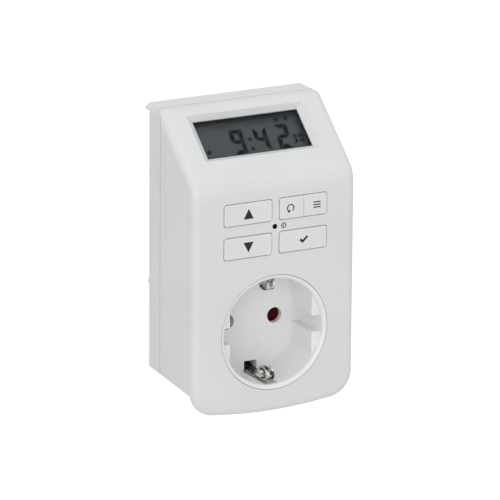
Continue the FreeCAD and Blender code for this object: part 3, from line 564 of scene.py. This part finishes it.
@dataclass
class KeySymbols:
    """Printed symbols on the key caps, the mark of the reset hole, and a dark sleeve of painted shade
    inside the reset hole.
    """

    ink_and_shade: bpy.types.Material
    thickness: float = 0.012 * MM
    line: float = 0.42 * MM
    arrow_width: float = 3.9 * MM
    arrow_height: float = 3.7 * MM
    arrow_round: float = 0.22 * MM
    arrow_segments: int = 3
    loop_radius: float = 1.25 * MM
    loop_sweep: float = 285.0
    loop_start: float = -55.0
    head_half: float = 0.75 * MM
    head_share: float = 1.2
    bar_half: float = 1.45 * MM
    bar_pitch: float = 0.95 * MM
    tick: tuple[Point, ...] = (
        (-0.4, -1.25), (1.85, 0.8), (1.35, 1.4), (-0.35, -0.1), (-1.0, 0.55), (-1.6, -0.05),
    )
    mark_radius: float = 0.85 * MM
    mark_line: float = 0.34 * MM
    mark_dot: float = 0.28 * MM
    mark_sides: int = 20
    mark_aside: float = 3.5 * MM
    bore: float = 0.945 * MM
    # Painted shade: the dark lining that makes the reset hole read black.
    shade_lining_wall: float = 0.06 * MM
    setback: float = 0.03 * MM

    def build(self) -> None:
        """Prints every symbol and lines the reset hole with painted shade."""
        self.arrow("symbol_up", Body.UP, 1)
        self.arrow("symbol_down", Body.DOWN, -1)
        self.recall()
        self.menu()
        self.confirm()
        self.reset_mark()
        self.reset_hole_shade()

    def place(self, name: str, mesh: bmesh.types.BMesh, body: Body, centre: Vector) -> None:
        """Stands a flat symbol on a face that looks along -Y.

        Args:
            name: The piece's name.
            mesh: The symbol, drawn on Z = 0.
            body: The body it rides on.
            centre: Its centre on the face.
        """
        stand = Matrix.Translation(centre) @ Matrix.Rotation(math.radians(90), 4, "X")
        bmesh.ops.transform(mesh, matrix=stand, verts=mesh.verts)
        finish_piece(to_object(name, mesh), self.ink_and_shade, body)

    def reset_centre(self) -> Vector:
        """Middle of the reset hole on the front face."""
        low, high = (Vector(corner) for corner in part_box("reset_plunger"))
        return Vector(((low.x + high.x) / 2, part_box("front_housing")[0][1], (low.z + high.z) / 2))

    def cap_centre(self, node: str) -> Vector:
        """Middle of a key cap's front face."""
        low, high = (Vector(corner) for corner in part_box(node))
        return Vector(((low.x + high.x) / 2, low.y, (low.z + high.z) / 2))

    def arrow(self, name: str, body: Body, way: int) -> None:
        """Prints a filled triangle with slightly rounded corners.

        Args:
            name: The piece's name.
            body: The key it is on.
            way: 1 points up and -1 down.
        """
        half, rise = self.arrow_width / 2, self.arrow_height / 2
        mesh = bmesh.new()
        raise_outline(mesh, [(-half, -rise), (half, -rise), (0.0, rise)], self.thickness)
        if way < 0:
            bmesh.ops.rotate(mesh, verts=mesh.verts, matrix=Matrix.Rotation(math.pi, 3, "Z"))
        upright = [edge for edge in mesh.edges if abs(edge.verts[0].co.z - edge.verts[1].co.z) > LEVEL_STEP]
        bmesh.ops.bevel(mesh, geom=upright, offset=self.arrow_round, segments=self.arrow_segments,
                        profile=0.5, affect="EDGES", material=-1)
        self.place(name, mesh, body, self.cap_centre(body.value))

    def recall(self) -> None:
        """Prints a loop with an arrow head, for going back to a stored setting."""
        mesh = bmesh.new()
        raise_ring(mesh, self.loop_radius, self.line, self.thickness, Vector(), self.loop_sweep,
                   self.loop_start)
        turn = Matrix.Rotation(math.radians(self.loop_start + self.loop_sweep), 3, "Z")
        half, rise = self.head_half, self.head_half * self.head_share
        head = ((-half, 0.0), (half, 0.0), (0.0, rise))
        corners = [turn @ Vector((self.loop_radius + x, y, 0.0)) for x, y in head]
        raise_outline(mesh, [(corner.x, corner.y) for corner in corners], self.thickness)
        self.place("symbol_recall", mesh, Body.RECALL, self.cap_centre("key_recall"))

    def menu(self) -> None:
        """Prints three short bars."""
        mesh = bmesh.new()
        half = self.bar_half
        for step in (-1, 0, 1):
            low, high = step * self.bar_pitch - self.line / 2, step * self.bar_pitch + self.line / 2
            raise_outline(mesh, [(-half, low), (half, low), (half, high), (-half, high)], self.thickness)
        self.place("symbol_menu", mesh, Body.MENU, self.cap_centre("key_menu"))

    def confirm(self) -> None:
        """Prints a tick."""
        mesh = bmesh.new()
        raise_outline(mesh, [(x * MM, y * MM) for x, y in self.tick], self.thickness)
        self.place("symbol_confirm", mesh, Body.OK, self.cap_centre("key_ok"))

    def reset_mark(self) -> None:
        """Prints a small ring with a dot beside the reset hole."""
        mesh = bmesh.new()
        raise_ring(mesh, self.mark_radius, self.mark_line, self.thickness, Vector())
        lifted = Matrix.Translation((0, 0, self.thickness / 2))
        bmesh.ops.create_cone(mesh, cap_ends=True, segments=self.mark_sides, radius1=self.mark_dot,
                              radius2=self.mark_dot, depth=self.thickness, matrix=lifted)
        centre = self.reset_centre() + Vector((self.mark_aside, 0.0, 0.0))
        self.place("symbol_reset", mesh, Body.CASE, centre)

    def reset_hole_shade(self) -> None:
        """Lines the reset hole with a thin dark sleeve of painted shade, from the front face to the
        plunger.
        """
        centre = self.reset_centre()
        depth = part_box("reset_plunger")[0][1] - centre.y
        mesh = bmesh.new()
        raise_ring(mesh, self.bore - self.shade_lining_wall / 2, self.shade_lining_wall, depth - self.setback,
                   Vector((0.0, 0.0, -depth)))
        self.place("reset_hole_shade", mesh, Body.CASE, centre)


@dataclass
class DisplayFigures:
    """Figures of the liquid crystal, on the front of the glass."""

    figure: bpy.types.Material
    glass: bpy.types.Object
    glass_lap: float = 0.9 * MM
    lift: float = 0.01 * MM
    thickness: float = 0.02 * MM
    clock_text: str = "942"
    clock_places: tuple[float, ...] = (-8.6, 0.7, 9.2)
    foot: float = 1.6 * MM
    height: float = 10.2 * MM
    width: float = 5.2 * MM
    bar: float = 1.75 * MM
    gap_share: float = 0.1
    middle_gap_share: float = 0.2
    least_slope: float = 0.1
    colon_place: float = -1.9 * MM
    colon_rises: tuple[float, ...] = (2.6, 6.6)
    dot: float = 1.3 * MM
    seconds_text: str = "30"
    seconds_places: tuple[float, ...] = (15.1, 17.6)
    seconds_foot: float = 3.3 * MM
    small_width: float = 1.7 * MM
    small_height: float = 3.6 * MM
    small_bar: float = 0.7 * MM
    mark_places: tuple[Point, ...] = ((-18.9, 3.2), (10.4, 13.1), (14.2, 13.3))
    mark_size: float = 1.5 * MM
    lean: float = 4.0
    segments: dict[str, str] = field(default_factory=lambda: {
        "0": "abcdef", "1": "bc", "2": "abged", "3": "abgcd", "4": "fgbc", "5": "afgcd",
        "6": "afgedc", "7": "abc", "8": "abcdefg", "9": "abcdfg",
    })

    def build(self) -> None:
        """Draws the clock figures, the small figures and the marks."""
        clock = bmesh.new()
        for text, left in zip(self.clock_text, self.clock_places):
            self.digit(clock, text, left * MM, self.foot, self.width, self.height, self.bar)
        for rise in self.colon_rises:
            self.block(clock, self.colon_place, rise * MM, self.dot)
        for text, left in zip(self.seconds_text, self.seconds_places):
            self.digit(clock, text, left * MM, self.seconds_foot, self.small_width, self.small_height,
                       self.small_bar)
        self.finish("display_clock", clock)
        marks = bmesh.new()
        for left, foot in self.mark_places:
            self.block(marks, left * MM, foot * MM, self.mark_size)
        self.finish("display_marks", marks)

    def digit(self, mesh: bmesh.types.BMesh, text: str, x: float, y: float, width: float, height: float,
              bar: float) -> None:
        """Draws one seven-bar figure.

        Args:
            mesh: The bmesh that it is added to.
            text: The figure.
            x: Its left edge.
            y: Its foot.
            width: Its width.
            height: Its height.
            bar: The width of a bar.
        """
        half = height / 2
        outer_edges = {
            "a": ((0, height), (width, height), 1.0, 1.0),
            "b": ((width, height), (width, half), 1.0, 0.5),
            "c": ((width, half), (width, 0), 0.5, 1.0),
            "d": ((width, 0), (0, 0), 1.0, 1.0),
            "e": ((0, 0), (0, half), 1.0, 0.5),
            "f": ((0, half), (0, height), 0.5, 1.0),
        }
        foot = Vector((x, y))
        for name in self.segments[text]:
            if name == "g":
                self.middle_bar(mesh, foot + Vector((0, half)), foot + Vector((width, half)), bar)
                continue
            start, end, start_mitre, end_mitre = outer_edges[name]
            self.outer_bar(mesh, foot + Vector(start), foot + Vector(end), bar, (start_mitre, end_mitre))

    def outer_bar(self, mesh: bmesh.types.BMesh, start: Vector, end: Vector, bar: float,
                  mitres: tuple[float, float]) -> None:
        """Draws a bar of a figure's outline, with mitred ends.

        Args:
            mesh: The bmesh that it is added to.
            start: Where its outer edge starts, going clockwise round the figure.
            end: Where its outer edge ends.
            bar: The bar's width.
            mitres: How far its inner edge is drawn in at each end, in bar widths.
        """
        along = (end - start).normalized()
        inward = Vector((along.y, -along.x)) * bar
        gap = along * bar * self.gap_share
        near, far = start + gap, end - gap
        near_inner = near + along * bar * mitres[0] + inward
        far_inner = far - along * bar * mitres[1] + inward
        self.fill(mesh, [near, near_inner, far_inner, far])

    def middle_bar(self, mesh: bmesh.types.BMesh, start: Vector, end: Vector, bar: float) -> None:
        """Draws a figure's middle bar, with pointed ends.

        Args:
            mesh: The bmesh that it is added to.
            start: One end of the bar's middle line.
            end: The other end.
            bar: The bar's width.
        """
        along = (end - start).normalized()
        across = Vector((-along.y, along.x)) * bar / 2
        tip = along * bar * self.middle_gap_share
        shoulder = tip + along * bar
        self.fill(mesh, [start + tip, start + shoulder - across, end - shoulder - across, end - tip,
                         end - shoulder + across, start + shoulder + across])

    def fill(self, mesh: bmesh.types.BMesh, points: list[Vector]) -> None:
        """Fills an outline, moved sideways by the figures' lean."""
        slope = math.tan(math.radians(self.lean))
        raise_outline(mesh, [(point.x + point.y * slope, point.y) for point in points], self.thickness)

    def block(self, mesh: bmesh.types.BMesh, x: float, y: float, side: float) -> None:
        """Fills a small square mark from its lower left corner."""
        corners = ((x, y), (x + side, y), (x + side, y + side), (x, y + side))
        self.fill(mesh, [Vector(corner) for corner in corners])

    def finish(self, name: str, mesh: bmesh.types.BMesh) -> None:
        """Lays the figures on the glass's front face.

        Args:
            name: The piece's name.
            mesh: The figures, drawn on Z = 0.
        """
        bmesh.ops.transform(mesh, matrix=self.glass_face(), verts=mesh.verts)
        finish_piece(to_object(name, mesh), self.figure, Body.CASE)

    def glass_face(self) -> Matrix:
        """Frame on the front of the glass, at the foot of the window and half way across.

        Returns:
            The matrix, with X across, Y up the slope and Z out of the glass.
        """
        data = self.glass.data
        sloped = [face for face in data.polygons
                  if min(-face.normal.y, face.normal.z) > self.least_slope]
        front = max(sloped, key=lambda face: face.area)
        out = front.normal.copy()
        up = Vector((0.0, out.z, -out.y))
        across = up.cross(out)
        foot = min((data.vertices[index].co for index in front.vertices), key=lambda point: point.dot(up))
        origin = Vector((0.0, foot.y, foot.z)) + up * self.glass_lap + out * self.lift
        axes = Matrix((across, up, out)).transposed().to_4x4()
        return Matrix.Translation(origin) @ axes


@dataclass
class Studio:
    """Floor, lights, world and camera."""

    azimuth: float = 27.996
    elevation: float = 16.671
    roll: float = 0.437
    lens: float = 355.44
    sensor: float = 36.0
    clip: tuple[float, float] = (0.05, 60.0)
    camera_at: Vector = field(default_factory=lambda: Vector((-0.78095, -1.50721, 0.52324)))
    floor_drop: float = 90 * MM
    floor_size: float = 9.0
    world_strength: float = 0.66
    floor_glow: float = 1.25
    glow_share: float = 0.72
    white: Colour = (1.0, 1.0, 1.0)
    floor_tone: Colour = (0.86, 0.86, 0.86)
    sky_tone: Colour = (0.97, 0.985, 1.0)
    boxes: tuple[tuple[str, tuple[float, float, float], float], ...] = (
        ("overhead", (0.1, -0.25, 1.0), 2.0),
        ("front", (-0.75, -1.05, 0.35), 4.2),
    )
    box_side: float = 0.9
    box_target: Vector = field(default_factory=lambda: Vector((0.0, -30 * MM, 25 * MM)))

    def build(self) -> None:
        """Sets the whole studio up."""
        self.view_settings()
        self.floor()
        self.world()
        self.lights()
        self.camera()

    def view_settings(self) -> None:
        """Shows colours as they are written."""
        bpy.context.scene.view_settings.view_transform = "Standard"

    def backdrop(self) -> bpy.types.Material:
        """Makes the pale floor: white to the camera, and it still takes shadows."""
        material = bpy.data.materials.new("studio_floor")
        nodes = Nodes(material)
        matt = nodes.add("ShaderNodeBsdfDiffuse", Color=(*self.floor_tone, 1.0))
        glow = nodes.add("ShaderNodeEmission", Color=(*self.white, 1.0), Strength=self.floor_glow)
        rays = nodes.add("ShaderNodeLightPath")
        mix = nodes.add("ShaderNodeMixShader")
        seen = nodes.add("ShaderNodeMath", operation="MULTIPLY")
        seen.inputs[1].default_value = self.glow_share
        nodes.link(rays.outputs["Is Camera Ray"], seen.inputs[0])
        nodes.link(seen.outputs[0], mix.inputs["Fac"])
        nodes.link(matt.outputs["BSDF"], mix.inputs[1])
        nodes.link(glow.outputs["Emission"], mix.inputs[2])
        nodes.surface(mix.outputs["Shader"])
        return material

    def floor(self) -> None:
        """Lays a large plain floor under the object."""
        mesh = bmesh.new()
        bmesh.ops.create_grid(mesh, x_segments=1, y_segments=1, size=self.floor_size)
        low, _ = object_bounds()
        bmesh.ops.translate(mesh, verts=mesh.verts, vec=(0, 0, low.z - self.floor_drop))
        floor = to_object("studio_floor", mesh)
        floor.data.materials.append(self.backdrop())
        floor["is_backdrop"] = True

    def world(self) -> None:
        """Lights the object evenly, with a white background behind it."""
        world = bpy.data.worlds.new("studio")
        bpy.context.scene.world = world
        nodes = Nodes(world)
        rays = nodes.add("ShaderNodeLightPath")
        sky = (*self.sky_tone, 1.0)
        soft = nodes.add("ShaderNodeBackground", Color=sky, Strength=self.world_strength)
        clear = nodes.add("ShaderNodeBackground", Color=(*self.white, 1.0), Strength=1.0)
        mix = nodes.add("ShaderNodeMixShader")
        seen = rays.outputs["Is Camera Ray"]
        for name in ("Is Glossy Ray", "Is Transmission Ray"):
            either = nodes.add("ShaderNodeMath", operation="MAXIMUM")
            nodes.link(seen, either.inputs[0])
            nodes.link(rays.outputs[name], either.inputs[1])
            seen = either.outputs[0]
        nodes.link(seen, mix.inputs["Fac"])
        nodes.link(soft.outputs["Background"], mix.inputs[1])
        nodes.link(clear.outputs["Background"], mix.inputs[2])
        nodes.surface(mix.outputs["Shader"], "ShaderNodeOutputWorld")

    def lights(self) -> None:
        """Hangs the soft boxes: one overhead, and one in front and to the left."""
        for name, place, power in self.boxes:
            self.soft_box(name, Vector(place), power)

    def soft_box(self, name: str, place: Vector, power: float) -> None:
        """Adds one square area light that looks at the object.

        Args:
            name: The light's name.
            place: Where it hangs.
            power: Its power in watts.
        """
        data = bpy.data.lights.new(name, "AREA")
        data.shape = "SQUARE"
        data.size = self.box_side
        data.energy = power
        light = bpy.data.objects.new(name, data)
        light.location = place
        light.rotation_euler = (self.box_target - place).to_track_quat("-Z", "Y").to_euler()
        bpy.context.scene.collection.objects.link(light)

    def camera(self) -> None:
        """Puts the camera where the photograph was taken from."""
        turn, tilt, roll = (math.radians(angle) for angle in (self.azimuth, self.elevation, self.roll))
        ahead = Vector((math.sin(turn) * math.cos(tilt), math.cos(turn) * math.cos(tilt), -math.sin(tilt)))
        level = Vector((math.cos(turn), -math.sin(turn), 0.0))
        above = level.cross(ahead)
        right = level * math.cos(roll) + above * math.sin(roll)
        up = above * math.cos(roll) - level * math.sin(roll)
        data = bpy.data.cameras.new("photo_camera")
        data.sensor_width = self.sensor
        data.lens = self.lens
        data.clip_start, data.clip_end = self.clip
        camera = bpy.data.objects.new("photo_camera", data)
        turned = Matrix((right, up, -ahead)).transposed().to_4x4()
        camera.matrix_world = Matrix.Translation(self.camera_at) @ turned
        bpy.context.scene.collection.objects.link(camera)
        bpy.context.scene.camera = camera


def main() -> None:
    """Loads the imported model, dresses it and sets the studio up."""
    logging.basicConfig(level=logging.INFO, format="%(message)s")
    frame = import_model()
    Casing(frame).dress()
    KeySymbols(INK_AND_SHADE.build()).build()
    DisplayFigures(FIGURE.build(), frame["nodes"]["lcd_panel"]).build()
    Studio().build()


if __name__ == "__main__":
    main()
